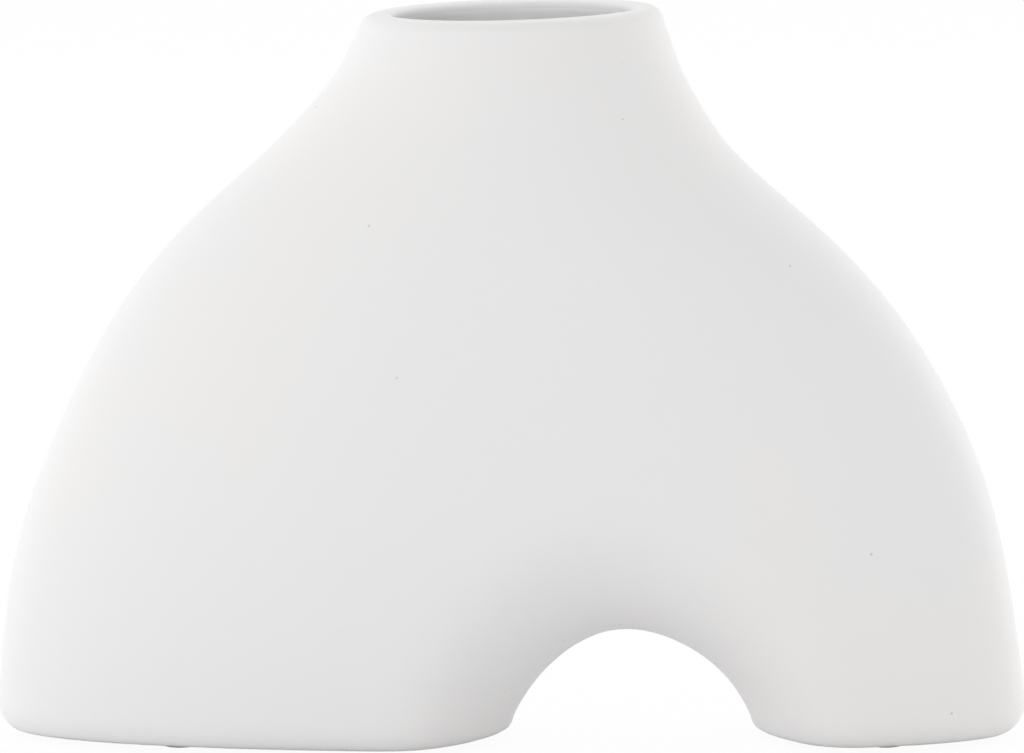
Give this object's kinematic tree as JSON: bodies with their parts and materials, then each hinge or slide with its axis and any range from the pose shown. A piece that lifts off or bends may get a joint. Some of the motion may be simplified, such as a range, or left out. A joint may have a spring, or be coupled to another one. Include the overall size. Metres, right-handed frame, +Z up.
{
  "type": "vase",
  "caption": "Flattened matte ceramic vase with an oval mouth, standing on a wide foot and a narrow foot with a low arch between them, on felt pads.",
  "frame": {"origin": "on the surface that the vase stands on, under the middle of its box", "axes": "+X runs from the wide foot to the narrow one, +Y from the front to the back, +Z up"},
  "size_m": [0.25, 0.068, 0.1787],
  "materials": {
    "ceramic": "matte white",
    "felt": "dense felt"
  },
  "bodies": {
    "root": {"vase_body": "ceramic", "felt_pad_wide_foot_outer_front": "felt", "felt_pad_wide_foot_outer_back": "felt", "felt_pad_wide_foot_inner_front": "felt", "felt_pad_wide_foot_inner_back": "felt", "felt_pad_narrow_foot_middle_front": "felt", "felt_pad_narrow_foot_middle_back": "felt"}
  },
  "joints": []
}
